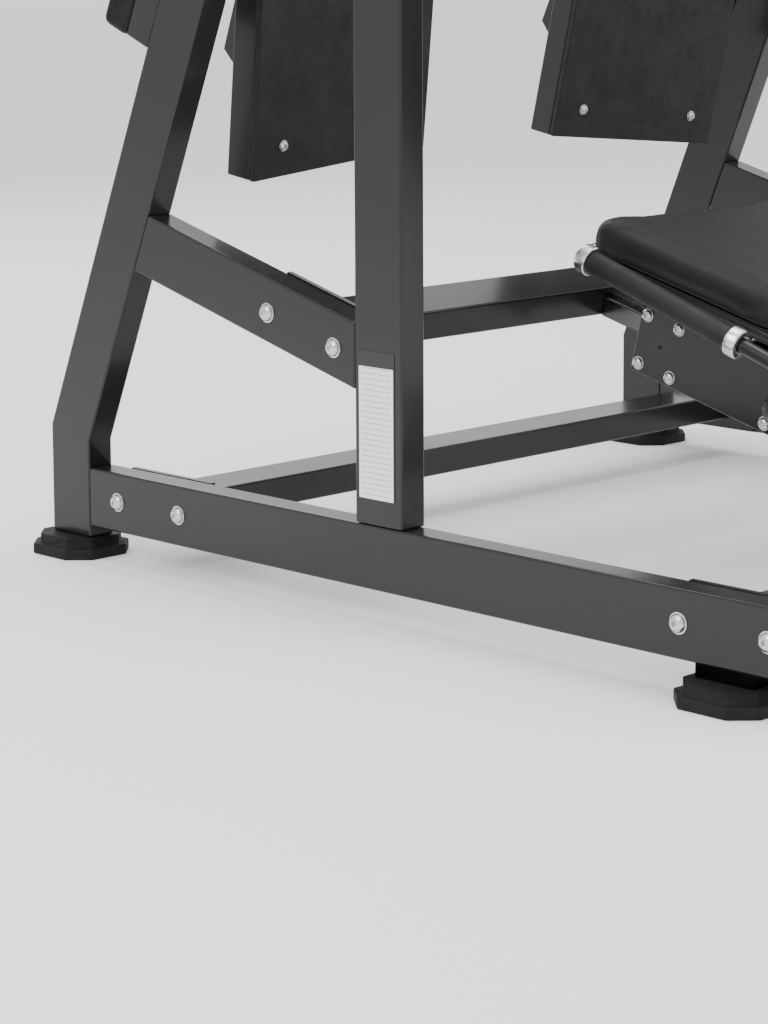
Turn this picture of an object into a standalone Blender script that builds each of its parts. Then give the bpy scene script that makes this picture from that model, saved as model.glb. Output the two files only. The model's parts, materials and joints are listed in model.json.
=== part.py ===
"""Plate-loaded leg press with two independent overhead-pivoted press arms and a sliding reclined seat.

+X is the user's right, +Y the way the user faces and presses, +Z up. Metres. The origin is the centre of
the bounding box on the floor.
"""

from math import cos, pi, radians, sin, tan

import bmesh
import bpy
from mathutils import Matrix, Vector

# Driving dimensions
TUBE_W = 0.050                 # frame tube, narrow side
TUBE_H = 0.100                 # frame tube, wide side
WALL = 0.003
EDGE = 0.004                   # corner radius of the frame tube
GAP = 0.0003                   # clearance between touching pieces
SIDES = {"l": -1, "r": 1}

# Side frames
FRAME_X = 0.745                # centre plane of each side frame
UPRIGHT_Y = -0.0015            # centre of the uprights
FLOOR_CLEAR = 0.054            # underside of the base rails
RAIL_TOP = FLOOR_CLEAR + TUBE_H
RAIL_REAR_Y = UPRIGHT_Y - 0.800
LEG_Y = UPRIGHT_Y + 0.743      # centre of a front leg's vertical foot
LEG_LEAN = radians(22.5)
LEG_BEND_Z = 0.208
HEAD_Z = 1.530                 # centre height of the top rails
HEAD_LOW = HEAD_Z - TUBE_H / 2
BRACE_TILT = radians(15)
BRACE_Z = 0.410                # centre of the brace where it meets the upright

# Cross rails
SPAN_X = FRAME_X - TUBE_W / 2 - GAP
FLANGE_T = 0.010
LOW_RAIL_Z = 0.1055
FRONT_RAIL_Y = UPRIGHT_Y + 0.5415
REAR_RAIL_Y = UPRIGHT_Y - 0.662
SEAT_RAIL_Y = UPRIGHT_Y + 0.170
SEAT_RAIL_Z = 0.438
PIVOT_Y = UPRIGHT_Y + 0.4165
PIVOT_Z = 1.420

# Feet
FOOT_H = 0.034
FOOT_X = 0.140
FOOT_Y = 0.152
FOOT_CUT = 0.034               # length cut from the lower step's corners
FOOT_STEP = 0.022              # how much smaller the upper step is
FOOT_LOW = 0.018               # height of the lower step

# Press arms
HUB_X = 0.441
TOE = radians(3.16)            # the pivot axes' toe and cant set how the plates part as they swing
CANT = radians(4.76)
PLATE_LEAN = radians(9.5)
HUB_R = 0.030
HUB_HALF = 0.119
SHAFT_R = 0.015
ARM_END = -0.545
CROSS_Z = -0.426
CROSS_REAR = 0.0315
ARM_BACK = CROSS_REAR - GAP - TUBE_H / 2   # the arm tube lies against the cross tube's rear face
CROSS_OUT = 0.376
HORN_R = 0.025
HORN_LENGTH = 0.235
PLATE_X = 0.381                # foot plate, centre of the face's bottom edge
PLATE_Y = UPRIGHT_Y + 0.4815
PLATE_Z = 0.654
PLATE_W = 0.426
PLATE_H = 0.420
TREAD_T = 0.012
PAN_T = 0.050

# Seat
SEAT_FRONT_Y = UPRIGHT_Y + 0.045
SEAT_TOP_Z = 0.590
PAD_W = 0.510
PAD_D = 0.430
PAD_T = 0.075
PAD_EDGE = 0.022
BACK_LEAN = radians(36)
BACK_LENGTH = 0.660
BACK_W = 0.440
GRIP_X = 0.287
GRIP_TILT = radians(19)
GRIP_R = 0.019
CARRIAGE_X = 0.160             # outer face of the carriage's side plates
SIDE_PLATE_T = 0.008

BLACK_COAT = ((0.030, 0.030, 0.032), 0.28, 0.0)
DARK_COAT = ((0.020, 0.020, 0.022), 0.40, 0.0)
RUBBER = ((0.012, 0.012, 0.012), 0.85, 0.0)
VINYL = ((0.014, 0.014, 0.015), 0.55, 0.0)
STEEL = ((0.62, 0.62, 0.63), 0.30, 1.0)

for old in list(bpy.data.objects):
    bpy.data.objects.remove(old, do_unlink=True)
PARTS = bpy.data.collections.new("leg_press")
CUTTERS = bpy.data.collections.new("cutters")
for group in (PARTS, CUTTERS):
    bpy.context.scene.collection.children.link(group)


# Helpers

def material_for(name, finish):
    colour, roughness, metallic = finish
    material = bpy.data.materials.new(name)
    material.use_nodes = True
    shader = material.node_tree.nodes["Principled BSDF"]
    shader.inputs["Base Color"].default_value = (*colour, 1.0)
    shader.inputs["Roughness"].default_value = roughness
    shader.inputs["Metallic"].default_value = metallic
    return material


def add_object(name, mesh, matrix=Matrix(), finish=None):
    """A part when it has a finish, and otherwise a cutter."""
    piece = bpy.data.objects.new(name, mesh)
    piece.matrix_world = matrix
    if finish:
        mesh.materials.append(material_for(name, finish))
        PARTS.objects.link(piece)
    else:
        piece.hide_render = True
        piece.display_type = "WIRE"
        CUTTERS.objects.link(piece)
    return piece


def box(name, size, matrix=Matrix(), finish=None, edge=0.0, segments=2):
    work = bmesh.new()
    bmesh.ops.create_cube(work, size=1.0, matrix=Matrix.Diagonal((*size, 1.0)))
    mesh = bpy.data.meshes.new(name)
    work.to_mesh(mesh)
    work.free()
    piece = add_object(name, mesh, matrix, finish)
    if edge:
        round_edges(piece, edge, segments)
    return piece


def round_edges(piece, width, segments=2):
    bevel = piece.modifiers.new("edges", "BEVEL")
    bevel.width = width
    bevel.segments = segments
    bevel.limit_method = "ANGLE"
    bevel.angle_limit = radians(35)


def cylinder(name, radius, length, matrix=Matrix(), finish=None, steps=24):
    """A cylinder along its own Z, centred."""
    work = bmesh.new()
    bmesh.ops.create_cone(work, cap_ends=True, segments=steps, radius1=radius, radius2=radius, depth=length)
    mesh = bpy.data.meshes.new(name)
    work.to_mesh(mesh)
    work.free()
    piece = add_object(name, mesh, matrix, finish)
    if finish:
        mesh.shade_smooth()
        mesh.set_sharp_from_angle(angle=radians(40))
    return piece


def turned(name, profile, matrix, finish, ring=False, steps=24):
    """A profile of (radius, height) points, outer side first from top to bottom, turned about its own Z."""
    mesh = bpy.data.meshes.new(name)
    count = len(profile)
    edges = [(i, i + 1) for i in range(count - 1)]
    if ring:
        edges.append((count - 1, 0))
    mesh.from_pydata([(radius, 0.0, height) for radius, height in profile], edges, [])
    piece = add_object(name, mesh, matrix, finish)
    screw = piece.modifiers.new("turn", "SCREW")
    screw.axis = "Z"
    screw.steps = steps
    screw.render_steps = steps
    screw.use_merge_vertices = True
    screw.merge_threshold = 0.00001
    return piece


def outline(name, points, thickness, matrix, finish=None, edge=0.0, segments=2):
    """A flat outline in its own XY plane, extruded to the given thickness about that plane."""
    curve = bpy.data.curves.new(name, "CURVE")
    curve.dimensions = "2D"
    curve.fill_mode = "BOTH"
    curve.extrude = thickness / 2
    spline = curve.splines.new("POLY")
    spline.points.add(len(points) - 1)
    for point, (x, y) in zip(spline.points, points):
        point.co = (x, y, 0.0, 1.0)
    spline.use_cyclic_u = True
    source = bpy.data.objects.new(name, curve)
    bpy.context.scene.collection.objects.link(source)
    evaluated = source.evaluated_get(bpy.context.evaluated_depsgraph_get())
    mesh = bpy.data.meshes.new_from_object(evaluated)
    bpy.data.objects.remove(source, do_unlink=True)
    work = bmesh.new()
    work.from_mesh(mesh)
    bmesh.ops.remove_doubles(work, verts=work.verts, dist=0.00001)
    bmesh.ops.dissolve_limit(work, angle_limit=radians(1), verts=work.verts, edges=work.edges)
    bmesh.ops.recalc_face_normals(work, faces=work.faces)
    work.to_mesh(mesh)
    work.free()
    mesh.name = name
    mesh.materials.clear()
    piece = add_object(name, mesh, matrix, finish)
    if edge:
        round_edges(piece, edge, segments)
    return piece


def boolean(piece, cutter, operation="DIFFERENCE"):
    step = piece.modifiers.new(cutter.name, "BOOLEAN")
    step.object = cutter
    step.operation = operation
    step.solver = "EXACT"


def at(x, y, z, rotation=Matrix.Identity(3)):
    return Matrix.Translation((x, y, z)) @ rotation.to_4x4()


def side_plane(x):
    """Maps an outline's (x, y) to the object's (Y, Z), in the plane at this X."""
    axes = Matrix(((0, 0, 1), (1, 0, 0), (0, 1, 0)))
    return at(x, 0, 0, axes)


def tilt(angle):
    """Rotation about X that lifts +Y by this angle."""
    return Matrix.Rotation(angle, 3, "X")


def box_tube(name, size, matrix, along, edge=EDGE):
    """A hollow rectangular tube, open at both ends, that runs along its own axis number `along`."""
    piece = box(name, size, matrix, BLACK_COAT, edge)
    inner = [side - 2 * WALL for side in size]
    inner[along] = size[along] + 0.02
    boolean(piece, box(name + "_bore", inner, matrix))
    return piece


# An outline's (x, y) becomes the (Y, Z) of the axes that it is placed in
PROFILE_PLANE = Matrix(((0, 0, 1, 0), (1, 0, 0, 0), (0, 1, 0, 0), (0, 0, 0, 1)))


# Side frames

def leg_outline(inset, overrun):
    """The bent front leg seen from the side; inset narrows it and overrun lengthens it at both ends."""
    half = TUBE_H / 2 - inset
    top = HEAD_LOW - GAP + overrun
    bottom = FOOT_H + GAP - overrun
    middle = LEG_Y - (top - LEG_BEND_Z) * tan(LEG_LEAN)
    wide = half / cos(LEG_LEAN)
    knee = half * tan(LEG_LEAN / 2)
    return [
        (LEG_Y - half, bottom),
        (LEG_Y + half, bottom),
        (LEG_Y + half, LEG_BEND_Z + knee),
        (middle + wide, top),
        (middle - wide, top),
        (LEG_Y - half, LEG_BEND_Z - knee),
    ]


def make_side_frame(tag, side):
    x = side * FRAME_X
    plane = side_plane(x)
    leg = outline(f"front_leg_{tag}", leg_outline(0, 0), TUBE_W, plane, BLACK_COAT, EDGE)
    boolean(leg, outline(f"front_leg_{tag}_bore", leg_outline(WALL, 0.01), TUBE_W - 2 * WALL, plane))

    rail_front = LEG_Y - TUBE_H / 2 - GAP
    rail_length = rail_front - RAIL_REAR_Y
    rail_y = (rail_front + RAIL_REAR_Y) / 2
    rail = box_tube(
        f"base_rail_{tag}", (TUBE_W, rail_length, TUBE_H), at(x, rail_y, FLOOR_CLEAR + TUBE_H / 2), 1
    )
    stub_low = FOOT_H + GAP
    stub_height = FLOOR_CLEAR + 2 * WALL - stub_low
    stub = box(
        f"base_rail_{tag}_stub",
        (TUBE_W - 2 * EDGE, TUBE_H, stub_height),
        at(x, REAR_RAIL_Y, stub_low + stub_height / 2),
    )
    boolean(rail, stub, "UNION")

    low = RAIL_TOP + GAP
    high = HEAD_LOW - GAP
    box_tube(
        f"upright_{tag}", (TUBE_W, TUBE_H, high - low), at(x, UPRIGHT_Y, (low + high) / 2), 2
    )

    rear = UPRIGHT_Y - 0.090
    front = PIVOT_Y + 0.085
    box_tube(f"top_rail_{tag}", (TUBE_W, front - rear, TUBE_H), at(x, (rear + front) / 2, HEAD_Z), 1)
    make_brace(tag, x)
    make_bumper(tag, side)


def make_brace(tag, x):
    """The sloping brace, cut square to the upright at its rear end and to the leaning leg at its front."""
    rear_y = UPRIGHT_Y + TUBE_H / 2 + GAP
    half = TUBE_H / 2 / cos(BRACE_TILT)
    slope = tan(BRACE_TILT)

    lean = tan(LEG_LEAN)
    leg_rear = LEG_Y + LEG_BEND_Z * lean - TUBE_H / 2 / cos(LEG_LEAN) - GAP

    def front_corner(offset):
        start = BRACE_Z + offset
        along = (leg_rear - start * lean - rear_y) / (1 + slope * lean)
        return (rear_y + along, start + along * slope)

    def brace_points(inset):
        rise = half - inset / cos(BRACE_TILT)
        return [
            (rear_y, BRACE_Z - rise),
            front_corner(-rise),
            front_corner(rise),
            (rear_y, BRACE_Z + rise),
        ]

    plane = side_plane(x)
    brace = outline(f"brace_{tag}", brace_points(0), TUBE_W, plane, BLACK_COAT, EDGE)
    bore = outline(f"brace_{tag}_bore", brace_points(WALL), TUBE_W - 2 * WALL, plane)
    boolean(brace, bore)


def make_bumper(tag, side):
    """A short tube square to the leg's front face, with the rubber block that the arm's cross tube rests on."""
    x = side * FRAME_X
    height = 0.860
    face_y = LEG_Y + TUBE_H / 2 / cos(LEG_LEAN) - (height - LEG_BEND_Z) * tan(LEG_LEAN)
    turn = tilt(LEG_LEAN)
    start = Vector((x, face_y, height)) + turn @ Vector((0, GAP, TUBE_H / 2))
    stub_length = 0.055
    rubber_length = 0.0615
    stub_mid = start + turn @ Vector((0, stub_length / 2, 0))
    box_tube(f"bumper_stub_{tag}", (TUBE_W, stub_length, TUBE_H), at(*stub_mid, turn), 1)
    rubber_mid = start + turn @ Vector((0, stub_length + GAP + rubber_length / 2, 0))
    box(
        f"arm_bumper_{tag}",
        (TUBE_W + 0.008, rubber_length, TUBE_H + 0.008),
        at(*rubber_mid, turn),
        RUBBER,
        0.014,
        4,
    )


def make_feet():
    """Stepped octagonal rubber feet under the front legs and under the rear stubs."""
    for place, y in (("front", LEG_Y + 0.006), ("rear", REAR_RAIL_Y)):
        for tag, side in SIDES.items():
            lower = octagon(FOOT_X, FOOT_Y, FOOT_CUT)
            upper = octagon(FOOT_X - FOOT_STEP, FOOT_Y - FOOT_STEP, FOOT_CUT - 0.004)
            name = f"{place}_foot_{tag}"
            foot = outline(name, lower, FOOT_LOW, at(side * FRAME_X, y, FOOT_LOW / 2), RUBBER, 0.003)
            sunk = FOOT_LOW / 2
            step_place = at(side * FRAME_X, y, (FOOT_H + sunk) / 2)
            step = outline(name + "_step", upper, FOOT_H - sunk, step_place)
            boolean(foot, step, "UNION")


def octagon(width, depth, cut):
    w = width / 2
    d = depth / 2
    return [
        (-w + cut, -d), (w - cut, -d), (w, -d + cut), (w, d - cut),
        (w - cut, d), (-w + cut, d), (-w, d - cut), (-w, -d + cut),
    ]


# Cross members

def make_cross_rail(name, y, z, turn=0.0, upright=False, flange=(0.200, 0.110)):
    """A tube across the machine with a bolting flange at each end."""
    rotation = tilt(turn)
    section = (TUBE_W, TUBE_H) if upright else (TUBE_H, TUBE_W)
    place = at(0, y, z, rotation)
    rail = box(name, (2 * (SPAN_X - FLANGE_T + 0.002), *section), place, BLACK_COAT, EDGE)
    for tag, side in SIDES.items():
        plate = box(
            f"{name}_flange_{tag}",
            (FLANGE_T, *flange),
            place @ Matrix.Translation((side * (SPAN_X - FLANGE_T / 2), 0, 0)),
        )
        boolean(rail, plate, "UNION")
    bore = [side - 2 * WALL for side in section]
    boolean(rail, box(f"{name}_bore", (2 * FRAME_X, *bore), place))


def make_cross_rails():
    make_cross_rail("front_cross_rail", FRONT_RAIL_Y, LOW_RAIL_Z, flange=(0.200, 0.098))
    make_cross_rail("rear_cross_rail", REAR_RAIL_Y, LOW_RAIL_Z, flange=(0.200, 0.098))
    make_cross_rail("seat_cross_rail", SEAT_RAIL_Y, SEAT_RAIL_Z, BRACE_TILT, flange=(0.200, 0.110))
    make_cross_rail("top_cross_beam", PIVOT_Y, HEAD_Z, upright=True, flange=(0.160, 0.098))


# Press arms

def swing_frame(side, lean):
    """The arm's own axes: X along the pivot, Z up along a line that leans back by this angle."""
    toe = Matrix.Rotation(-side * TOE, 3, "Z")
    cant = Matrix.Rotation(side * CANT, 3, "Y")
    return toe @ cant @ tilt(lean)


ALONG_X = Matrix.Rotation(pi / 2, 4, "Y")


def make_pivot(tag, side):
    """Two ears under the top beam, the fixed shaft through them and the hub that turns on it."""
    hub = at(side * HUB_X, PIVOT_Y, PIVOT_Z, swing_frame(side, 0))
    plate_t = 0.012
    plate_size = (0.310, 0.120, plate_t)
    plate_z = HEAD_LOW - GAP - plate_t / 2
    bracket = box(
        f"pivot_bracket_{tag}",
        plate_size,
        at(side * (HUB_X + 0.004), PIVOT_Y, plate_z),
        BLACK_COAT,
        0.002,
        1,
    )
    ear_t = 0.012
    radius = 0.038
    ear_wide = 0.048
    end_play = 0.0005
    bottom = [(-radius * cos(pi * i / 12), -radius * sin(pi * i / 12)) for i in range(13)]
    for number, end in enumerate((-1, 1)):
        ear_x = end * (HUB_HALF + end_play + ear_t / 2)
        ear_top = plate_z - PIVOT_Z - ear_x * hub.col[0].z
        ear = [(-ear_wide, ear_top), *bottom, (ear_wide, ear_top)]
        place = hub @ Matrix.Translation((ear_x, 0, 0)) @ PROFILE_PLANE
        boolean(bracket, outline(f"pivot_ear_{tag}{number}", ear, ear_t, place), "UNION")
    hole = cylinder(f"pivot_hole_{tag}", SHAFT_R + GAP, 0.4, hub @ ALONG_X)
    boolean(bracket, hole)

    reach = HUB_HALF + end_play + ear_t + GAP
    shaft = [
        (0, reach + 0.008), (0.023, reach + 0.008), (0.023, reach), (SHAFT_R, reach),
        (SHAFT_R, -reach - 0.012), (0, -reach - 0.012),
    ]
    turned(f"pivot_shaft_{tag}", shaft, hub @ ALONG_X, STEEL)
    rim = HUB_R
    bore = SHAFT_R + 0.0004
    ring = [
        (rim - 0.002, HUB_HALF), (rim, HUB_HALF - 0.002), (rim, 0.002 - HUB_HALF),
        (rim - 0.002, -HUB_HALF), (bore, -HUB_HALF), (bore, HUB_HALF),
    ]
    turned(f"pivot_hub_{tag}", ring, hub @ ALONG_X, BLACK_COAT, ring=True)


def make_arm(tag, side):
    """The arm tube hanging from its hub, its outboard cross tube and the weight horn."""
    arm = at(side * HUB_X, PIVOT_Y, PIVOT_Z, swing_frame(side, LEG_LEAN))
    top = -HUB_R - GAP
    middle = (top + ARM_END) / 2
    box_tube(
        f"press_arm_{tag}",
        (TUBE_W, TUBE_H, top - ARM_END),
        arm @ Matrix.Translation((0, ARM_BACK, middle)),
        2,
    )
    inner = -0.045
    cross_length = CROSS_OUT - inner
    cross_y = CROSS_REAR + TUBE_W / 2
    box_tube(
        f"arm_cross_tube_{tag}",
        (cross_length, TUBE_W, TUBE_H),
        arm @ Matrix.Translation((side * (inner + CROSS_OUT) / 2, cross_y, CROSS_Z)),
        0,
    )
    outward = Matrix.Rotation(side * pi / 2, 4, "Y")
    horn_root = arm @ Matrix.Translation((side * (CROSS_OUT + GAP), cross_y, CROSS_Z)) @ outward
    flange_t = 0.008
    horn = [
        (0, HORN_LENGTH), (HORN_R, HORN_LENGTH), (HORN_R, flange_t), (0.044, flange_t), (0.044, 0), (0, 0),
    ]
    turned(f"weight_horn_{tag}", horn, horn_root, STEEL)
    stop_low = flange_t + GAP
    stop_high = stop_low + 0.012
    bore = HORN_R + GAP
    disc = [
        (0.062, stop_high), (0.065, stop_high - 0.003), (0.065, stop_low), (bore, stop_low), (bore, stop_high),
    ]
    turned(f"horn_stop_disc_{tag}", disc, horn_root, RUBBER, ring=True)
    cap_low = HORN_LENGTH + GAP
    cap = [
        (0, cap_low + 0.012), (0.021, cap_low + 0.012), (0.028, cap_low + 0.006),
        (0.028, cap_low), (0, cap_low),
    ]
    turned(f"horn_cap_{tag}", cap, horn_root, RUBBER)


def make_foot_plate(tag, side):
    """The tread on its hollow pan, and the wide bracket that ties the pan to the arm tube."""
    plate = at(side * PLATE_X, PLATE_Y, PLATE_Z, swing_frame(side, PLATE_LEAN))
    box(
        f"footplate_tread_{tag}",
        (PLATE_W, TREAD_T, PLATE_H),
        plate @ Matrix.Translation((0, TREAD_T / 2, PLATE_H / 2)),
        RUBBER,
        0.002,
        1,
    )
    pan_y = TREAD_T + GAP
    pan = box(
        f"footplate_pan_{tag}",
        (PLATE_W, PAN_T, PLATE_H),
        plate @ Matrix.Translation((0, pan_y + PAN_T / 2, PLATE_H / 2)),
        DARK_COAT,
        0.003,
    )
    hollow = box(
        f"footplate_pan_{tag}_hollow",
        (PLATE_W - 2 * WALL, PAN_T - 2 * WALL, PLATE_H - 2 * WALL),
        plate @ Matrix.Translation((0, pan_y + PAN_T / 2, PLATE_H / 2)),
    )
    boolean(pan, hollow)
    for end in (-1, 1):
        slot_place = plate @ Matrix.Translation((end * 0.150, pan_y + PAN_T / 2, 0))
        boolean(pan, box(f"footplate_pan_{tag}_drain_{end}", (0.030, 0.010, 0.030), slot_place))

    pan_back = pan_y + PAN_T + GAP
    low = 0.140
    high = 0.360
    lean = LEG_LEAN - PLATE_LEAN
    pivot = plate.inverted() @ Vector((side * HUB_X, PIVOT_Y, PIVOT_Z))
    rear = ARM_BACK - TUBE_H / 2 - GAP
    face_y = pivot.y + rear * cos(lean)
    face_z = pivot.z + rear * sin(lean)

    def arm_face(z):
        return face_y + (face_z - z) * tan(lean)

    toe_z = low + 0.055
    bracket_points = [(pan_back, low), (arm_face(toe_z), toe_z), (arm_face(high), high), (pan_back, high)]
    skin = 0.004
    pocket_points = [
        (pan_back - 0.01, low + 2 * skin), (arm_face(toe_z) - 1.5 * skin, toe_z + skin),
        (arm_face(high) - 1.5 * skin, high - skin), (pan_back - 0.01, high - skin),
    ]
    width = 0.340
    bracket = outline(
        f"plate_bracket_{tag}", bracket_points, width, plate @ PROFILE_PLANE, DARK_COAT, 0.002, 1
    )
    pocket = outline(
        f"plate_bracket_{tag}_pocket", pocket_points, width - 2 * skin, plate @ PROFILE_PLANE
    )
    boolean(bracket, pocket)


# Seat

SLIDE = tilt(BRACE_TILT)       # the rails' own axes: Y runs up and forward along the slide
RAIL_X = 0.100                 # centre of each seat rail
RAIL_W = 0.030
RAIL_H = 0.034
RAIL_MID = -0.008              # height of the seat rails' centre on the slide's axes
RAIL_REAR = -0.930
CARRIAGE_FRONT = -0.170
CARRIAGE_REAR = -0.620
PLATE_TOP = 0.045
PLATE_LOW = -0.071
BOARD_T = 0.018
BOARD_REAR = -0.665


def on_slide(x, along, above):
    """A place given along the slide from the seat cross rail's centre, and above it."""
    origin = Vector((0, SEAT_RAIL_Y, SEAT_RAIL_Z))
    return at(*(origin + SLIDE @ Vector((x, along, above))), SLIDE)


def make_seat_rails():
    """Two inclined rails that run back and down from the seat cross rail, and the post at their rear."""
    front = -TUBE_H / 2 - GAP
    middle = (front + RAIL_REAR) / 2
    length = front - RAIL_REAR
    for tag, side in SIDES.items():
        place = on_slide(side * RAIL_X, middle, RAIL_MID)
        rail = box(f"seat_rail_{tag}", (RAIL_W, length, RAIL_H), place, STEEL, 0.003)
        bore_size = (RAIL_W - 2 * WALL, length + 0.02, RAIL_H - 2 * WALL)
        boolean(rail, box(f"seat_rail_{tag}_bore", bore_size, place))
    rail_under = on_slide(0, RAIL_REAR, RAIL_MID - RAIL_H / 2 - GAP).translation
    low = LOW_RAIL_Z + TUBE_W / 2 + GAP
    low_y = REAR_RAIL_Y - 0.040
    high_y = REAR_RAIL_Y + 0.040

    def under(y):
        return rail_under.z + (y - rail_under.y) * tan(BRACE_TILT)

    points = [(low_y, low), (high_y, low), (high_y, under(high_y)), (low_y, under(low_y))]
    outline("seat_rail_post", points, 2 * RAIL_X + RAIL_W, side_plane(0), BLACK_COAT, 0.003, 1)


def make_carriage():
    """Side plates outside the rails, joined above and below them, and the two roller axles between."""
    inner = CARRIAGE_X - SIDE_PLATE_T
    profile = [
        (CARRIAGE_FRONT, PLATE_TOP), (CARRIAGE_REAR, PLATE_TOP), (CARRIAGE_REAR, -0.050),
        (CARRIAGE_REAR + 0.060, PLATE_LOW), (CARRIAGE_FRONT, PLATE_LOW),
    ]
    mid = CARRIAGE_X - SIDE_PLATE_T / 2
    carriage = outline(
        "seat_carriage", profile, SIDE_PLATE_T, on_slide(-mid, 0, 0) @ PROFILE_PLANE, BLACK_COAT, 0.0015, 1
    )
    other = outline("carriage_plate_shape", profile, SIDE_PLATE_T, on_slide(mid, 0, 0) @ PROFILE_PLANE)
    boolean(carriage, other, "UNION")
    across = 2 * inner + 0.004
    for number, along in enumerate((CARRIAGE_FRONT - 0.055, CARRIAGE_REAR + 0.055)):
        bridge_place = on_slide(0, along, PLATE_TOP - 0.005)
        boolean(carriage, box(f"carriage_bridge_{number}", (across, 0.090, 0.008), bridge_place), "UNION")
    tie_place = on_slide(0, CARRIAGE_FRONT - 0.050, PLATE_LOW + 0.015)
    boolean(carriage, box("carriage_tie", (across, 0.070, 0.008), tie_place), "UNION")

    roller_r = 0.0105
    axle_r = 0.006
    above = RAIL_MID + RAIL_H / 2 + roller_r + GAP
    half = inner - 0.0005
    wide = RAIL_X + RAIL_W / 2 - 0.001
    narrow = RAIL_X - RAIL_W / 2 + 0.001
    for name, along in (("front_roller", CARRIAGE_FRONT - 0.130), ("rear_roller", CARRIAGE_REAR + 0.130)):
        profile = [
            (0, half), (axle_r, half), (axle_r, wide), (roller_r, wide), (roller_r, narrow),
            (axle_r, narrow), (axle_r, -narrow), (roller_r, -narrow), (roller_r, -wide),
            (axle_r, -wide), (axle_r, -half), (0, -half),
        ]
        turned(name, profile, on_slide(0, along, above) @ ALONG_X, STEEL, steps=20)


def make_lock():
    """The pop-pin that locks the carriage to the left rail: a housing on the side plate and a sprung pin."""
    along = CARRIAGE_FRONT - 0.330
    turn = Matrix.Rotation(-pi / 2, 4, "Y")
    place = on_slide(-CARRIAGE_X - GAP, along, RAIL_MID) @ turn
    bore = 0.0064
    housing = [(0.013, 0.026), (0.015, 0.024), (0.015, 0), (bore, 0), (bore, 0.026)]
    turned("lock_housing", housing, place, STEEL, ring=True)
    reach = RAIL_X + RAIL_W / 2 + 0.0005 - CARRIAGE_X - GAP
    pin = [
        (0, 0.062), (0.012, 0.060), (0.019, 0.052), (0.019, 0.036), (0.010, 0.030),
        (0.006, 0.0275), (0.006, reach), (0, reach),
    ]
    turned("lock_pin", pin, place, RUBBER)
    hole = cylinder("lock_pin_hole", bore, 0.030, on_slide(-CARRIAGE_X, along, RAIL_MID) @ ALONG_X)
    boolean(bpy.data.objects["seat_carriage"], hole)


def pad_on_slide():
    """Where the seat pad's front top edge lies, along the slide and above it."""
    offset = Vector((0, SEAT_FRONT_Y - SEAT_RAIL_Y, SEAT_TOP_Z - SEAT_RAIL_Z))
    local = SLIDE.inverted() @ offset
    return local.y, local.z


def make_seat():
    """The seat frame on the carriage, its pad, and the reclined back pad."""
    front, top = pad_on_slide()
    box(
        "seat_pad",
        (PAD_W, PAD_D, PAD_T),
        on_slide(0, front - PAD_D / 2, top - PAD_T / 2),
        VINYL,
        PAD_EDGE,
        4,
    )
    board_top = top - PAD_T - GAP
    board_front = front - 0.030
    board_length = board_front - BOARD_REAR
    board_place = on_slide(0, (board_front + BOARD_REAR) / 2, board_top - BOARD_T / 2)
    frame = box("seat_frame", (PAD_W - 0.090, board_length, BOARD_T), board_place, BLACK_COAT, 0.003, 1)
    riser_low = PLATE_TOP - 0.001 + GAP
    riser_high = board_top - BOARD_T / 2
    for number, along in enumerate((CARRIAGE_FRONT - 0.055, CARRIAGE_REAR + 0.055)):
        riser_size = (0.240, 0.050, riser_high - riser_low)
        riser = box(f"seat_riser_{number}", riser_size, on_slide(0, along, (riser_low + riser_high) / 2))
        boolean(frame, riser, "UNION")

    seat_rear = on_slide(0, front - PAD_D, top).translation
    foot = seat_rear + Vector((0, -0.012, 0.020))
    back = foot + tilt(BACK_LEAN) @ Vector((0, -PAD_T / 2, BACK_LENGTH / 2))
    box("back_pad", (BACK_W, PAD_T, BACK_LENGTH), at(*back, tilt(BACK_LEAN)), VINYL, PAD_EDGE, 4)
    return foot, board_top


def make_back_frame(foot, board_top):
    """A window frame behind the back pad with two struts that stand on the rear of the seat frame."""
    depth = 0.040
    turn = tilt(BACK_LEAN)
    centre = foot + turn @ Vector((0, -PAD_T - GAP - depth / 2, BACK_LENGTH / 2))
    frame = box(
        "back_frame", (0.300, depth, BACK_LENGTH - 0.140), at(*centre, turn), BLACK_COAT, 0.004, 1
    )
    window = box("back_frame_window", (0.200, depth + 0.02, BACK_LENGTH - 0.260), at(*centre, turn))
    boolean(frame, window)
    strut_w = 0.036
    foot_half = 0.028
    low_front = on_slide(0, BOARD_REAR + 0.035 + foot_half, board_top + GAP).translation
    low_rear = on_slide(0, BOARD_REAR + 0.035 - foot_half, board_top + GAP).translation
    join = foot + turn @ Vector((0, -PAD_T - GAP - depth / 2, 0.105))
    points = [
        (low_rear.y, low_rear.z), (low_front.y, low_front.z),
        (join.y + 0.012, join.z), (join.y - 0.022, join.z + 0.010),
    ]
    for tag, side in SIDES.items():
        strut = outline(f"back_strut_{tag}", points, strut_w, side_plane(side * 0.120))
        boolean(frame, strut, "UNION")


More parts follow.
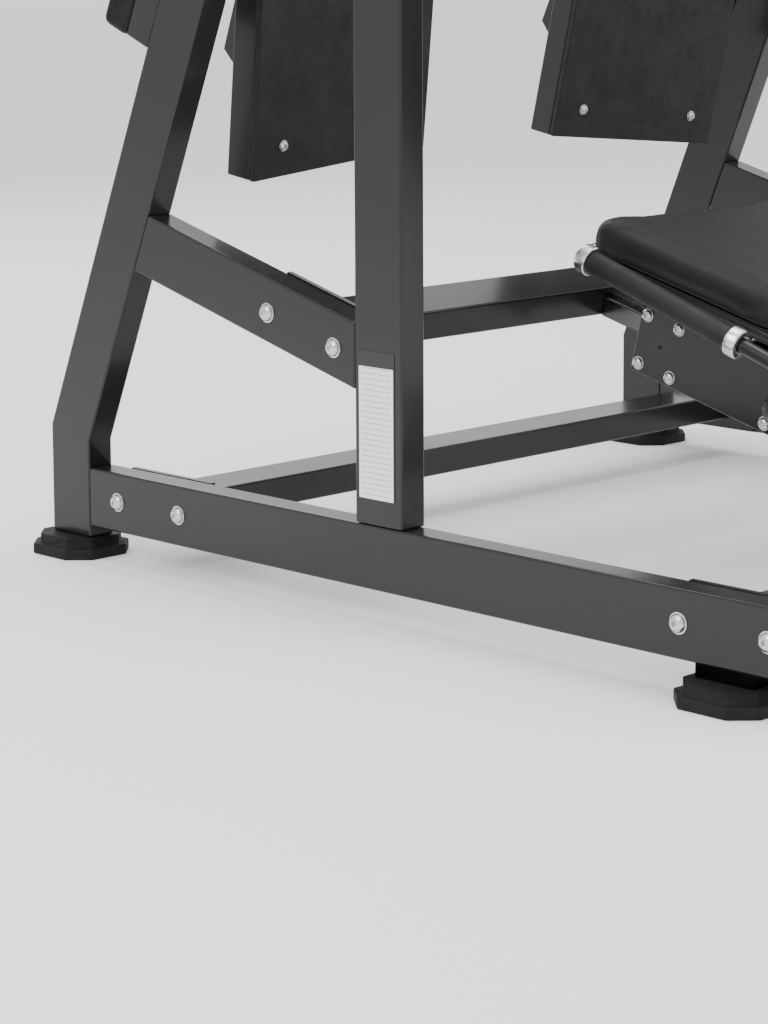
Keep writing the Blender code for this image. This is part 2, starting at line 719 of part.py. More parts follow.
def make_handles():
    """Side handles: a bar with a rubber grip at its front, tied to the seat frame near its rear end."""
    turn = tilt(GRIP_TILT)
    front = Vector((0, UPRIGHT_Y + 0.012, 0.522))
    grip_length = 0.327
    bar_r = 0.0125
    bar_length = 0.450
    frame_side = (PAD_W - 0.090) / 2 + GAP
    reach = GRIP_X - frame_side
    lengthwise = turn @ Matrix.Rotation(pi / 2, 3, "X")
    for tag, side in SIDES.items():
        start = front + Vector((side * GRIP_X, 0, 0))
        bar_mid = start + turn @ Vector((0, -bar_length / 2, 0))
        bar = cylinder(f"side_handle_{tag}", bar_r, bar_length, at(*bar_mid, lengthwise), BLACK_COAT, 20)
        tie_at = start + turn @ Vector((0, -bar_length + 0.040, 0))
        tie_x = side * (frame_side + reach / 2)
        tie = box(f"side_handle_{tag}_tie", (reach, 0.040, 0.014), at(tie_x, tie_at.y, tie_at.z, SLIDE))
        boolean(bar, tie, "UNION")
        bore = bar_r + GAP
        half = grip_length / 2
        ring = [
            (GRIP_R - 0.003, half), (GRIP_R, half - 0.003), (GRIP_R, 0.003 - half),
            (GRIP_R - 0.003, -half), (bore, -half), (bore, half),
        ]
        grip_mid = start + turn @ Vector((0, -half - 0.006, 0))
        turned(f"handle_grip_{tag}", ring, at(*grip_mid, lengthwise), RUBBER, ring=True, steps=20)


for tag, side in SIDES.items():
    make_side_frame(tag, side)
    make_pivot(tag, side)
    make_arm(tag, side)
    make_foot_plate(tag, side)
make_feet()
make_cross_rails()
make_seat_rails()
make_carriage()
make_lock()
make_back_frame(*make_seat())
make_handles()
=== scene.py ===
"""Looks of the plate-loaded leg press: steelwork, upholstery, fasteners, materials, light and camera."""

import json
from math import cos, pi, radians, sin

import bmesh
import bpy
from mathutils import Matrix, Vector


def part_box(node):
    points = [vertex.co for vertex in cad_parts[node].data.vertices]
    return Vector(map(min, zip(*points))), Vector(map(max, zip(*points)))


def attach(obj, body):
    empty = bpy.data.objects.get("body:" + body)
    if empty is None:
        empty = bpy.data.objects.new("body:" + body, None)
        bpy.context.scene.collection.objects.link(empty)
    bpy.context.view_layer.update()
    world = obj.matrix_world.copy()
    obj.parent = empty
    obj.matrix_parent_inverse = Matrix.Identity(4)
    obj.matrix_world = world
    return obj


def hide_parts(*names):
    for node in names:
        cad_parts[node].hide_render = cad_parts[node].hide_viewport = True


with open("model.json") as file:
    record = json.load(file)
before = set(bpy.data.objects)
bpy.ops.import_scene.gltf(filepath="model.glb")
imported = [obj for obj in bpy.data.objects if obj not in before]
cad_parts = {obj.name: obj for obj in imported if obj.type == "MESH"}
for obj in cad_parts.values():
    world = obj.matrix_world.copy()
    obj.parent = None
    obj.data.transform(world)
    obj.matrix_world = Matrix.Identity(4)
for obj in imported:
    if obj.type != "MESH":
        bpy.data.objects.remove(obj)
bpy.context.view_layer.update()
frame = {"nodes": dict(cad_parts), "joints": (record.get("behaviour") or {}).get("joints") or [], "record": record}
SCENE = bpy.context.scene
SIDES = {"l": -1, "r": 1}
NODE_BODY = {node: body for body, nodes in frame["record"]["behaviour"]["bodies"].items() for node in nodes}
JOINTS = {joint["name"]: joint for joint in frame["joints"]}


# Places read from the frame

def middle(node):
    low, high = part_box(node)
    return (low + high) / 2


SLIDE_Y = Vector(JOINTS["seat_slide"]["axis"]).normalized()
SLIDE_X = Vector((1, 0, 0))
FORWARD = Vector((0, 1, 0))
SLIDE_Z = SLIDE_X.cross(SLIDE_Y)
SLIDE = Matrix((SLIDE_X, SLIDE_Y, SLIDE_Z)).transposed()
SEAT_RAIL = middle("seat_cross_rail")
UPRIGHT = middle("upright_l")
FRAME_X = -UPRIGHT.x
TUBE_HALF = 0.025              # half of the frame tube's narrow side, and of its wide side
TUBE_HALF_H = 0.050
GRIP_TILT = radians(19)


def placed(origin, rotation):
    return Matrix.Translation(origin) @ rotation.to_4x4()


def facing(origin, normal, up=(0, 0, 1)):
    """A frame whose Z is the normal and whose Y is as near to up as it can be."""
    z = Vector(normal).normalized()
    x = Vector(up).cross(z).normalized()
    return placed(origin, Matrix((x, z.cross(x), z)).transposed())


def on_slide(x, along, above):
    return SEAT_RAIL + SLIDE @ Vector((x, along, above))


# Materials

class Nodes:
    """A small helper that adds and joins a material's shader nodes."""

    def __init__(self, name, colour, roughness, metallic=0.0):
        self.material = bpy.data.materials.new(name)
        self.material.use_nodes = True
        self.tree = self.material.node_tree
        self.shader = self.tree.nodes["Principled BSDF"]
        self.set("Base Color", (*colour, 1.0))
        self.set("Roughness", roughness)
        self.set("Metallic", metallic)
        self.position = self.add("ShaderNodeTexCoord").outputs["Object"]

    def set(self, socket, value):
        self.shader.inputs[socket].default_value = value

    def add(self, kind, **values):
        node = self.tree.nodes.new(kind)
        for key, value in values.items():
            setattr(node, key, value)
        return node

    def join(self, source, target):
        self.tree.links.new(source, target)

    def noise(self, scale, detail=3.0, roughness=0.5, stretch=None):
        node = self.add("ShaderNodeTexNoise")
        node.inputs["Scale"].default_value = scale
        node.inputs["Detail"].default_value = detail
        node.inputs["Roughness"].default_value = roughness
        source = self.position
        if stretch:
            mapping = self.add("ShaderNodeMapping")
            mapping.inputs["Scale"].default_value = stretch
            self.join(source, mapping.inputs["Vector"])
            source = mapping.outputs["Vector"]
        self.join(source, node.inputs["Vector"])
        return node.outputs["Fac"]

    def spread(self, value, low, high, start=0.3, end=0.7):
        """Maps a 0 to 1 value to a range."""
        node = self.add("ShaderNodeMapRange")
        node.inputs["From Min"].default_value = start
        node.inputs["From Max"].default_value = end
        node.inputs["To Min"].default_value = low
        node.inputs["To Max"].default_value = high
        self.join(value, node.inputs["Value"])
        return node.outputs["Result"]

    def ramp(self, value, stops):
        node = self.add("ShaderNodeValToRGB")
        elements = node.color_ramp.elements
        for index, (place, colour) in enumerate(stops):
            element = elements[index] if index < 2 else elements.new(place)
            element.position = place
            element.color = (*colour, 1.0)
        self.join(value, node.inputs["Fac"])
        return node.outputs["Color"]

    def bump(self, heights, distance):
        """Chains bumps, given as (height socket, strength)."""
        normal = None
        for height, strength in heights:
            node = self.add("ShaderNodeBump")
            node.inputs["Strength"].default_value = strength
            node.inputs["Distance"].default_value = distance
            self.join(height, node.inputs["Height"])
            if normal:
                self.join(normal, node.inputs["Normal"])
            normal = node.outputs["Normal"]
        self.join(normal, self.shader.inputs["Normal"])

    def voronoi(self, scale, feature="F1"):
        node = self.add("ShaderNodeTexVoronoi", feature=feature)
        node.inputs["Scale"].default_value = scale
        self.join(self.position, node.inputs["Vector"])
        return node.outputs["Distance"]


def powder_coat(name, colour, roughness):
    """Glossy powder coat: fine orange peel, and a gloss and shade that vary slightly."""
    paint = Nodes(name, colour, roughness)
    lighter = [channel * 1.10 for channel in colour]
    darker = [channel * 0.92 for channel in colour]
    cloud = paint.noise(2.2, 4.0)
    paint.join(paint.ramp(cloud, [(0.30, darker), (0.72, lighter)]), paint.shader.inputs["Base Color"])
    haze = paint.noise(5.0, 3.0, 0.5)
    paint.join(paint.spread(haze, roughness - 0.02, roughness + 0.03), paint.shader.inputs["Roughness"])
    paint.set("Specular IOR Level", 0.32)
    paint.set("Coat Weight", 0.10)
    paint.set("Coat Roughness", 0.10)
    paint.bump([(paint.noise(420.0, 2.0), 0.05)], 0.0005)
    return paint.material


def vinyl():
    """Upholstery vinyl: fine pebbled grain with soft creases."""
    skin = Nodes("upholstery_vinyl", (0.0085, 0.0085, 0.009), 0.52)
    cloud = skin.noise(5.0, 4.0)
    skin.join(
        skin.ramp(cloud, [(0.3, (0.0075, 0.0075, 0.008)), (0.7, (0.0100, 0.0100, 0.0105))]),
        skin.shader.inputs["Base Color"],
    )
    grain = skin.voronoi(780.0, "SMOOTH_F1")
    skin.join(skin.spread(grain, 0.44, 0.62, 0.1, 0.6), skin.shader.inputs["Roughness"])
    skin.set("Specular IOR Level", 0.22)
    skin.bump([(grain, 0.35), (skin.noise(30.0, 4.0), 0.10)], 0.0008)
    return skin.material


def rubber(name, colour=(0.0065, 0.0065, 0.007), roughness=0.72, grain=600.0):
    block = Nodes(name, colour, roughness)
    block.set("Specular IOR Level", 0.25)
    cloud = block.noise(14.0, 5.0)
    darker = [channel * 0.8 for channel in colour]
    lighter = [channel * 1.6 for channel in colour]
    block.join(block.ramp(cloud, [(0.3, darker), (0.75, lighter)]), block.shader.inputs["Base Color"])
    block.join(block.spread(block.noise(60.0, 4.0), roughness - 0.08, roughness + 0.08),
               block.shader.inputs["Roughness"])
    block.bump([(block.noise(grain, 3.0), 0.22)], 0.0006)
    return block.material


def steel(name, colour, roughness, brushed=None):
    metal = Nodes(name, colour, roughness, 1.0)
    scratch = metal.noise(70.0, 4.0, 0.6, brushed or (1, 1, 1))
    metal.join(metal.spread(scratch, roughness - 0.07, roughness + 0.10), metal.shader.inputs["Roughness"])
    darker = [channel * 0.86 for channel in colour]
    metal.join(metal.ramp(metal.noise(12.0, 3.0), [(0.3, darker), (0.7, colour)]),
               metal.shader.inputs["Base Color"])
    metal.bump([(scratch, 0.06)], 0.0003)
    return metal.material


def plastic(name, colour, roughness):
    moulded = Nodes(name, colour, roughness)
    moulded.join(moulded.spread(moulded.noise(25.0, 4.0), roughness - 0.06, roughness + 0.08),
                 moulded.shader.inputs["Roughness"])
    darker = [channel * 0.85 for channel in colour]
    lighter = [channel * 1.2 for channel in colour]
    moulded.join(moulded.ramp(moulded.noise(8.0, 3.0), [(0.3, darker), (0.7, lighter)]),
                 moulded.shader.inputs["Base Color"])
    moulded.bump([(moulded.noise(900.0, 2.0), 0.12)], 0.0004)
    return moulded.material


COAT = powder_coat("black_powder_coat", (0.013, 0.013, 0.0135), 0.22)
PLATE_COAT = powder_coat("satin_black_coat", (0.011, 0.011, 0.0115), 0.32)
VINYL = vinyl()
RUBBER = rubber("moulded_rubber")
TREAD = rubber("foot_plate_rubber", (0.0125, 0.0125, 0.013), 0.62, 380.0)
GRIP = rubber("grip_rubber", (0.012, 0.012, 0.0125), 0.55, 500.0)
STAINLESS = steel("stainless_steel", (0.66, 0.66, 0.67), 0.24)
HORN_STEEL = steel("turned_steel", (0.60, 0.60, 0.61), 0.30, (1, 1, 12))
RAIL_STEEL = steel("dark_chromed_steel", (0.13, 0.13, 0.135), 0.22, (1, 20, 1))
ALUMINIUM = steel("brushed_aluminium", (0.78, 0.78, 0.79), 0.26)
PLUG = plastic("black_plastic", (0.016, 0.016, 0.0165), 0.42)
KNOB = plastic("knob_plastic", (0.018, 0.018, 0.018), 0.30)
# Near-black painted shade, standing for the dark inside of a hole.
PAINTED_HOLE_SHADE = plastic("socket_shadow", (0.004, 0.004, 0.004), 0.8)


# Pieces

def add_piece(name, mesh, body, material, matrix=None, sharp=35.0):
    piece = bpy.data.objects.new(name, mesh)
    if matrix is not None:
        piece.matrix_world = matrix
    SCENE.collection.objects.link(piece)
    if material:
        mesh.materials.clear()
        mesh.materials.append(material)
    mesh.shade_smooth()
    mesh.set_sharp_from_angle(angle=radians(sharp))
    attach(piece, body)
    return piece


def refine(node, material, slot):
    """A welded copy of a CAD node with smooth rounded edges, which stands for the node."""
    work = bmesh.new()
    work.from_mesh(frame["nodes"][node].data)
    bmesh.ops.remove_doubles(work, verts=work.verts, dist=0.00002)
    bmesh.ops.dissolve_limit(work, angle_limit=radians(0.5), verts=work.verts, edges=work.edges)
    mesh = bpy.data.meshes.new(node + "_finish")
    work.to_mesh(mesh)
    work.free()
    piece = add_piece(node + "_finish", mesh, NODE_BODY[node], material, sharp=50.0)
    weighted = piece.modifiers.new("flat_faces", "WEIGHTED_NORMAL")
    weighted.keep_sharp = True
    weighted.weight = 90
    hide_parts(node)
    return piece


def finish_for(node):
    """Material and slot of a hard CAD node, by its name."""
    rules = (
        (("footplate_tread",), TREAD, "rubber"),
        (("footplate_pan", "plate_bracket"), PLATE_COAT, "coat"),
        (("handle_grip",), GRIP, "rubber"),
        (("front_foot", "rear_foot", "arm_bumper", "horn_stop_disc"), RUBBER, "rubber"),
        (("horn_cap",), PLUG, "rubber"),
        (("seat_rail_l", "seat_rail_r"), RAIL_STEEL, "steel"),
        (("weight_horn",), HORN_STEEL, "steel"),
        (("pivot_shaft", "lock_housing", "front_roller", "rear_roller"), STAINLESS, "steel"),
        (("lock_pin",), KNOB, "knob"),
    )
    for prefixes, material, slot in rules:
        if node.startswith(prefixes):
            return material, slot
    return COAT, "coat"


def finish_hard_nodes():
    for node in sorted(frame["nodes"]):
        if node not in ("seat_pad", "back_pad"):
            refine(node, *finish_for(node))


# Fasteners

def bolt_mesh(radius):
    """A button head with a hexagon socket, seated on a washer, its Z pointing out."""
    height = radius * 0.55
    socket = radius * 0.40
    rings = [(radius * 1.16, 0.0), (radius * 1.16, 0.0012), (radius * 1.02, 0.0014), (radius, 0.0022)]
    dome = 5
    for step in range(1, dome + 1):
        angle = pi / 2 * step / (dome + 0.6)
        rings.append((radius * (0.30 + 0.70 * cos(angle)), 0.0022 + height * sin(angle)))
    top = rings[-1][1]
    rings.append((socket, top))
    rings.append((socket * 0.97, top - height * 0.62))
    sides = 24
    work = bmesh.new()
    loops = []
    for index, (ring_radius, z) in enumerate(rings):
        loop = []
        for side in range(sides):
            angle = 2 * pi * side / sides
            reach = ring_radius
            if index >= len(rings) - 2:
                reach *= cos(pi / 6) / cos((angle % (pi / 3)) - pi / 6)
            loop.append(work.verts.new((reach * cos(angle), reach * sin(angle), z)))
        loops.append(loop)
    for low, high in zip(loops, loops[1:]):
        for side in range(sides):
            follow = (side + 1) % sides
            work.faces.new((low[side], low[follow], high[follow], high[side]))
    work.faces.new(list(reversed(loops[0])))
    work.faces.new(loops[-1])
    bmesh.ops.recalc_face_normals(work, faces=work.faces)
    mesh = bpy.data.meshes.new("button_head_bolt")
    work.to_mesh(mesh)
    work.free()
    return mesh


LARGE_BOLT = 0.0135
SMALL_BOLT = 0.0100
TREAD_BOLT = 0.0085


def add_bolt(name, radius, origin, normal, body, up=(0, 0, 1)):
    add_piece(name, bolt_mesh(radius), body, STAINLESS, facing(origin, normal, up), 30.0)


def add_frame_bolts():
    """Pairs of bolts through the side frames into each cross rail's end flange."""
    pair = 0.077
    rails = {
        "front_cross_rail": FORWARD,
        "rear_cross_rail": FORWARD,
        "seat_cross_rail": SLIDE_Y,
        "top_cross_beam": FORWARD,
    }
    for rail, along in rails.items():
        centre = middle(rail)
        for tag, side in SIDES.items():
            outside = Vector((side * (FRAME_X + TUBE_HALF), centre.y, centre.z))
            for number, step in enumerate((-pair, pair)):
                place = outside + along * step
                add_bolt(f"{rail}_bolt_{tag}{number}", LARGE_BOLT, place, (side, 0, 0), "frame")


def add_carriage_bolts():
    side_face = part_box("seat_carriage")[1].x
    high = 0.029
    low = -0.055
    spots = [(-0.183, high), (-0.252, high), (-0.185, low), (-0.254, low), (-0.457, low), (-0.525, high)]
    for tag, side in SIDES.items():
        for number, (along, above) in enumerate(spots):
            origin = on_slide(side * side_face, along, above)
            add_bolt(f"carriage_bolt_{tag}{number}", SMALL_BOLT, origin, (side, 0, 0), "seat")
        # The hole is not cut: a thin near-black disc on the side plate is painted shade standing for its dark
        # inside.
        hole = facing(on_slide(side * side_face, -0.221, -0.014), (side, 0, 0))
        hole_r = 0.0035
        skin = 0.0004
        profile = [(0, skin), (hole_r, skin), (hole_r, -skin), (0, -skin)]
        turned_piece(f"carriage_hole_painted_shade_{tag}", profile, hole, "seat", PAINTED_HOLE_SHADE, 20)


def add_tread_bolts():
    """Four low bolts near each foot plate's corners."""
    for tag, side in SIDES.items():
        mesh = frame["nodes"][f"footplate_tread_{tag}"].data
        hinge = Vector(JOINTS[f"arm_swing_{tag}"]["axis"]).normalized()
        points = [vertex.co for vertex in mesh.vertices]
        faces = max(mesh.polygons, key=lambda face: -face.normal.y * face.area)
        normal = faces.normal.copy()
        up = normal.cross(hinge).normalized()
        if up.z < 0:
            up = -up
        across = [point.dot(hinge) for point in points]
        height = [point.dot(up) for point in points]
        depth = max(point.dot(normal) for point in points)
        side_in = 0.066
        end_in = 0.053
        spots = [
            (x, z)
            for x in (min(across) + side_in, max(across) - side_in)
            for z in (min(height) + end_in, max(height) - end_in)
        ]
        for number, (x, z) in enumerate(spots):
            origin = hinge * x + up * z + normal * depth
            add_bolt(f"tread_bolt_{tag}{number}", TREAD_BOLT, origin, normal, f"arm_{tag}", up)


# Rounded plastic and metal trim

def rounded_box(name, size, matrix, body, material, radius, segments=4):
    work = bmesh.new()
    bmesh.ops.create_cube(work, size=1.0, matrix=Matrix.Diagonal((*size, 1.0)))
    bmesh.ops.bevel(
        work, geom=list(work.edges), offset=radius, segments=segments, profile=0.5, affect="EDGES"
    )
    mesh = bpy.data.meshes.new(name)
    work.to_mesh(mesh)
    work.free()
    return add_piece(name, mesh, body, material, matrix)


def turned_piece(name, profile, matrix, body, material, sides=40):
    """A closed turned piece from (radius, height) points that start and end on the axis."""
    work = bmesh.new()
    loops = []
    for radius, z in profile:
        if radius == 0:
            loops.append([work.verts.new((0, 0, z))])
        else:
            loops.append(
                [
                    work.verts.new((radius * cos(2 * pi * i / sides), radius * sin(2 * pi * i / sides), z))
                    for i in range(sides)
                ]
            )
    for low, high in zip(loops, loops[1:]):
        for i in range(sides):
            j = (i + 1) % sides
            corners = [low[i % len(low)], low[j % len(low)], high[j % len(high)], high[i % len(high)]]
            unique = list(dict.fromkeys(corners))
            work.faces.new(unique)
    bmesh.ops.recalc_face_normals(work, faces=work.faces)
    mesh = bpy.data.meshes.new(name)
    work.to_mesh(mesh)
    work.free()
    return add_piece(name, mesh, body, material, matrix, 40.0)


def add_end_caps():
    """Push-in plastic caps at the open ends of the rails."""
    lip = 0.004
    size = (0.0495, lip, 0.0995)
    for tag, side in SIDES.items():
        for node, ends in ((f"base_rail_{tag}", (-1,)), (f"top_rail_{tag}", (-1, 1))):
            low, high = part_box(node)
            tube_top = high.z
            for end in ends:
                y = low.y if end < 0 else high.y
                origin = Vector((side * FRAME_X, y + end * lip / 2, tube_top - TUBE_HALF_H))
                rounded_box(
                    f"{node}_cap_{'rear' if end < 0 else 'front'}",
                    size, Matrix.Translation(origin), "frame", PLUG, 0.0018, 3,
                )


def add_collars():
    """Aluminium collars at both ends of each grip; the front one closes the bar's end."""
    for tag, side in SIDES.items():
        low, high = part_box(f"handle_grip_{tag}")
        grip_r = (high.x - low.x) / 2
        along = Vector((0, cos(GRIP_TILT), sin(GRIP_TILT)))
        centre = (low + high) / 2
        length = ((high.y - low.y) - 2 * grip_r * sin(GRIP_TILT)) / cos(GRIP_TILT)
        lathe = facing(centre, along, (1, 0, 0))
        ring = grip_r + 0.0055
        half = length / 2
        front = [
            (0, half + 0.0135), (ring - 0.006, half + 0.0135), (ring - 0.0015, half + 0.011),
            (ring, half + 0.008), (ring, half - 0.009), (ring - 0.0015, half - 0.0105),
            (grip_r + 0.0003, half - 0.0105), (grip_r + 0.0003, half + 0.002), (0, half + 0.002),
        ]
        turned_piece(f"grip_collar_front_{tag}", front, lathe, "seat", ALUMINIUM)
        bar_r = 0.0128
        rear = [
            (0, -half + 0.004), (grip_r + 0.0003, -half + 0.004), (grip_r + 0.0003, -half + 0.012),
            (ring - 0.0015, -half + 0.012), (ring, -half + 0.0105), (ring, -half - 0.007),
            (ring - 0.002, -half - 0.010), (bar_r + 0.003, -half - 0.010), (bar_r + 0.003, -half - 0.002),
            (0, -half - 0.002),
        ]
        turned_piece(f"grip_collar_rear_{tag}", rear, lathe, "seat", ALUMINIUM)


def add_placard():
    """A plain placard on the left upright: a dark header band over a pale field of thin rules."""
    width = 0.078
    height = 0.228
    thickness = 0.0008
    centre = Vector((-FRAME_X - TUBE_HALF - thickness / 2 - 0.0002, UPRIGHT.y + 0.003, 0.307))
    mesh_matrix = facing(centre, (-1, 0, 0))
    card = Nodes("placard_print", (0.80, 0.80, 0.79), 0.38)
    separate = card.add("ShaderNodeSeparateXYZ")
    card.join(card.position, separate.inputs["Vector"])
    header_line = height / 2 - 0.024

    def step(value, edge, operation="GREATER_THAN"):
        node = card.add("ShaderNodeMath", operation=operation)
        card.join(value, node.inputs[0])
        node.inputs[1].default_value = edge
        return node.outputs["Value"]

    def combine(first, second, operation="MULTIPLY"):
        node = card.add("ShaderNodeMath", operation=operation)
        card.join(first, node.inputs[0])
        card.join(second, node.inputs[1])
        return node.outputs["Value"]

    across = separate.outputs["X"]
    up = separate.outputs["Y"]
    header = step(up, header_line)
    pitch = card.add("ShaderNodeMath", operation="PINGPONG")
    card.join(up, pitch.inputs[0])
    pitch.inputs[1].default_value = 0.0042
    rule = step(pitch.outputs["Value"], 0.0034)
    left = step(across, -width / 2 + 0.008)
    right = step(across, width / 2 - 0.008, "LESS_THAN")
    rules = combine(combine(rule, left), right)
    edge_x = card.add("ShaderNodeMath", operation="ABSOLUTE")
    card.join(across, edge_x.inputs[0])
    border = step(edge_x.outputs["Value"], width / 2 - 0.0025)
    edge_y = card.add("ShaderNodeMath", operation="ABSOLUTE")
    card.join(up, edge_y.inputs[0])
    border_y = step(edge_y.outputs["Value"], height / 2 - 0.0025)
    dark = combine(combine(header, border, "MAXIMUM"), border_y, "MAXIMUM")
    soft = card.add("ShaderNodeMath", operation="MULTIPLY")
    card.join(rules, soft.inputs[0])
    soft.inputs[1].default_value = 0.45
    ink = combine(dark, soft.outputs["Value"], "MAXIMUM")
    card.join(card.ramp(ink, [(0.0, (0.80, 0.80, 0.79)), (1.0, (0.012, 0.012, 0.012))]),
              card.shader.inputs["Base Color"])
    rounded_box(
        "placard", (width, height, thickness), mesh_matrix, "frame", card.material, 0.0003, 1
    )


# Upholstery

SWELL_FRAMES = 20
SWELL_LIMIT = 0.006            # farthest that the stuffing may push the cover out
VOXEL = 0.006
PRESSURE = 4.0
PINNED = 0.012                 # height of the cover that stays fixed to the board


def pad_frame(node):
    """Axes, centre and size of a pad, read from its own faces."""
    mesh = frame["nodes"][node].data
    face = max(mesh.polygons, key=lambda polygon: polygon.area)
    flat = face.normal.copy()
    outward = flat.y if node == "back_pad" else flat.z
    if outward < 0:
        flat = -flat
    across = Vector((1, 0, 0))
    long_way = flat.cross(across).normalized()
    axes = Matrix((across, long_way, flat)).transposed()
    local = [axes.inverted() @ vertex.co for vertex in mesh.vertices]
    low = Vector([min(point[i] for point in local) for i in range(3)])
    high = Vector([max(point[i] for point in local) for i in range(3)])
    return axes, axes @ ((low + high) / 2), high - low


def pad_cage(name, size, corner, inset):
    """A rounded slab, a little smaller than the finished pad, for the cloth to swell from."""
    width, depth, height = (side / 2 - inset for side in size)
    work = bmesh.new()
    bmesh.ops.create_cube(work, size=1.0, matrix=Matrix.Diagonal((2 * width, 2 * depth, 2 * height, 1.0)))
    uprights = [
        edge for edge in work.edges
        if abs(edge.verts[0].co.z - edge.verts[1].co.z) > height
    ]
    bmesh.ops.bevel(work, geom=uprights, offset=corner, segments=6, profile=0.5, affect="EDGES")
    rims = [edge for edge in work.edges if abs(edge.verts[0].co.z - edge.verts[1].co.z) < 1e-6]
    bmesh.ops.bevel(work, geom=rims, offset=min(0.022, height * 0.7), segments=5, profile=0.5, affect="EDGES")
    mesh = bpy.data.meshes.new(name)
    work.to_mesh(mesh)
    work.free()
    return mesh


def swell(piece, voxel, pressure, cap, base_z):
    """Remeshes a pad and lets it swell as stuffed cloth over its rigid board, then applies the result."""
    remesh = piece.modifiers.new("voxels", "REMESH")
    remesh.mode = "VOXEL"
    remesh.voxel_size = voxel
    apply_modifiers(piece)
    start = [vertex.co.copy() for vertex in piece.data.vertices]
    pin = piece.vertex_groups.new(name="board")
    pin.add([v.index for v in piece.data.vertices if v.co.z < base_z], 1.0, "REPLACE")
    cloth = piece.modifiers.new("stuffing", "CLOTH")
    cloth.settings.quality = 5
    cloth.settings.mass = 0.4
    cloth.settings.tension_stiffness = 25
    cloth.settings.compression_stiffness = 25
    cloth.settings.shear_stiffness = 12
    cloth.settings.bending_stiffness = 3
    cloth.settings.use_pressure = True
    cloth.settings.uniform_pressure_force = pressure
    cloth.settings.vertex_group_mass = "board"
    cloth.settings.effector_weights.gravity = 0
    cloth.collision_settings.use_collision = False
    cloth.point_cache.frame_start = 1
    cloth.point_cache.frame_end = SWELL_FRAMES
    SCENE.frame_start = 1
    SCENE.frame_end = SWELL_FRAMES
    for number in range(1, SWELL_FRAMES + 1):
        SCENE.frame_set(number)
    apply_modifiers(piece)
    for vertex, rest in zip(piece.data.vertices, start):
        move = vertex.co - rest
        if move.length > cap:
            vertex.co = rest + move * (cap / move.length)
    SCENE.frame_set(1)
    smooth = piece.modifiers.new("skin", "SUBSURF")
    smooth.levels = 1
    smooth.render_levels = 1


def apply_modifiers(piece):
    evaluated = piece.evaluated_get(bpy.context.evaluated_depsgraph_get())
    mesh = bpy.data.meshes.new_from_object(evaluated)
    old = piece.data
    piece.modifiers.clear()
    piece.data = mesh
    bpy.data.meshes.remove(old)


def add_pad(node, corner):
    """A stuffed vinyl pad over a thin black board, in the space of the CAD pad."""
    axes, centre, size = pad_frame(node)
    board_t = 0.012
    foam = Vector((size.x, size.y, size.z - board_t))
    up = axes.col[2]
    rounded_box(
        f"{node}_board",
        (size.x - 0.030, size.y - 0.030, board_t),
        placed(centre - up * (size.z / 2 - board_t / 2), axes),
        "seat", PLUG, 0.003, 2,
    )
    mesh = pad_cage(f"{node}_cover", foam, corner, 0.004)
    cover = bpy.data.objects.new(f"{node}_cover", mesh)
    SCENE.collection.objects.link(cover)
    swell(cover, VOXEL, PRESSURE, SWELL_LIMIT, -foam.z / 2 + PINNED)
    cover.data.materials.clear()
    cover.data.materials.append(VINYL)
    cover.data.shade_smooth()
    cover.matrix_world = placed(centre + up * (board_t / 2), axes)
    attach(cover, "seat")
    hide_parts(node)
    add_seam(node, foam, corner, placed(centre + up * (board_t / 2), axes))


def add_seam(node, foam, corner, matrix):
    """The stitched seam that runs round the pad's side, near its board."""
    radius = 0.0013
    half_x = foam.x / 2 - 0.0015
    half_y = foam.y / 2 - 0.0015
    turn = corner
    points = []
    for centre_x, centre_y, start in (
        (half_x - turn, half_y - turn, 0), (-half_x + turn, half_y - turn, 1),
        (-half_x + turn, -half_y + turn, 2), (half_x - turn, -half_y + turn, 3),
    ):
        for step in range(9):
            angle = pi / 2 * (start + step / 8)
            points.append((centre_x + turn * cos(angle), centre_y + turn * sin(angle), -foam.z / 2 + 0.007))
    curve = bpy.data.curves.new(f"{node}_seam", "CURVE")
    curve.dimensions = "3D"
    curve.bevel_depth = radius
    curve.bevel_resolution = 2
    spline = curve.splines.new("POLY")
    spline.points.add(len(points) - 1)
    for point, place in zip(spline.points, points):
        point.co = (*place, 1.0)
    spline.use_cyclic_u = True
    seam = bpy.data.objects.new(f"{node}_seam", curve)
    seam.matrix_world = matrix
    SCENE.collection.objects.link(seam)
    curve.materials.append(VINYL)
    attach(seam, "seat")


# Surroundings

def add_light(name, location, target, size, power, shape="RECTANGLE", size_y=None):
    light = bpy.data.lights.new(name, "AREA")
    light.shape = shape
    light.size = size
    light.size_y = size_y or size
    light.energy = power
    lamp = bpy.data.objects.new(name, light)
    lamp.location = location
    lamp.rotation_mode = "QUATERNION"
    lamp.rotation_quaternion = (Vector(target) - Vector(location)).to_track_quat("-Z", "Y")
    SCENE.collection.objects.link(lamp)


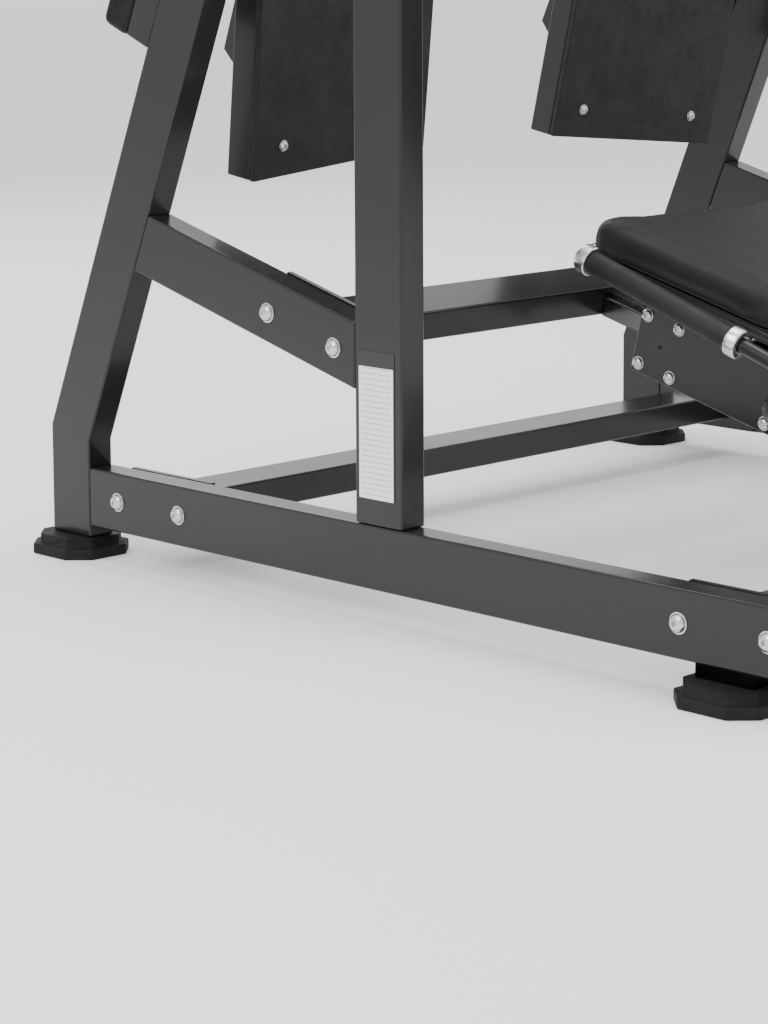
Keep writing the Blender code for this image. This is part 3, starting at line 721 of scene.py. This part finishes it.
def add_studio():
    """A pale floor, a bright even backdrop light and large soft boxes."""
    mesh = bpy.data.meshes.new("floor")
    work = bmesh.new()
    bmesh.ops.create_grid(work, x_segments=1, y_segments=1, size=30.0)
    work.to_mesh(mesh)
    work.free()
    floor = bpy.data.objects.new("floor", mesh)
    SCENE.collection.objects.link(floor)
    ground = Nodes("pale_floor", (0.93, 0.93, 0.93), 0.70)
    ground.set("Specular IOR Level", 0.0)
    mesh.materials.append(ground.material)
    world = bpy.data.worlds.new("studio")
    world.use_nodes = True
    background = world.node_tree.nodes["Background"]
    background.inputs["Color"].default_value = (1.0, 1.0, 1.0, 1.0)
    background.inputs["Strength"].default_value = 1.25
    SCENE.world = world
    add_light("key", (-4.5, -0.5, 3.6), (0, 0, 0.7), 3.0, 170)
    add_light("fill", (3.5, -4.5, 3.0), (0, 0, 0.7), 3.0, 50)
    add_light("rim", (1.5, 5.0, 4.0), (0, 0, 0.8), 3.5, 120)
    add_light("top", (0, 0, 5.0), (0, 0, 0), 3.0, 100)


def add_camera():
    """The photograph's viewpoint: eye height, behind and to the user's left."""
    yaw = radians(45.632)
    pitch = radians(-7.493)
    roll = radians(-0.125)
    eye = Vector((-3.7066, UPRIGHT.y - 2.9935, 1.04))
    camera = bpy.data.cameras.new("camera")
    camera.sensor_width = 36.0
    camera.lens = 99.51
    camera.shift_x = -0.05
    camera.shift_y = -0.20
    camera.clip_end = 100.0
    rig = bpy.data.objects.new("camera", camera)
    ahead = Vector((sin(yaw) * cos(pitch), cos(yaw) * cos(pitch), sin(pitch)))
    right = ahead.cross(Vector((0, 0, 1))).normalized()
    up = right.cross(ahead)
    rolled_right = right * cos(roll) + up * sin(roll)
    rolled_up = up * cos(roll) - right * sin(roll)
    rotation = Matrix((rolled_right, rolled_up, -ahead)).transposed()
    rig.matrix_world = placed(eye, rotation)
    SCENE.collection.objects.link(rig)
    SCENE.camera = rig


add_camera()
finish_hard_nodes()
add_pad("seat_pad", 0.045)
add_pad("back_pad", 0.055)
add_frame_bolts()
add_carriage_bolts()
add_tread_bolts()
add_end_caps()
add_collars()
add_placard()
add_studio()
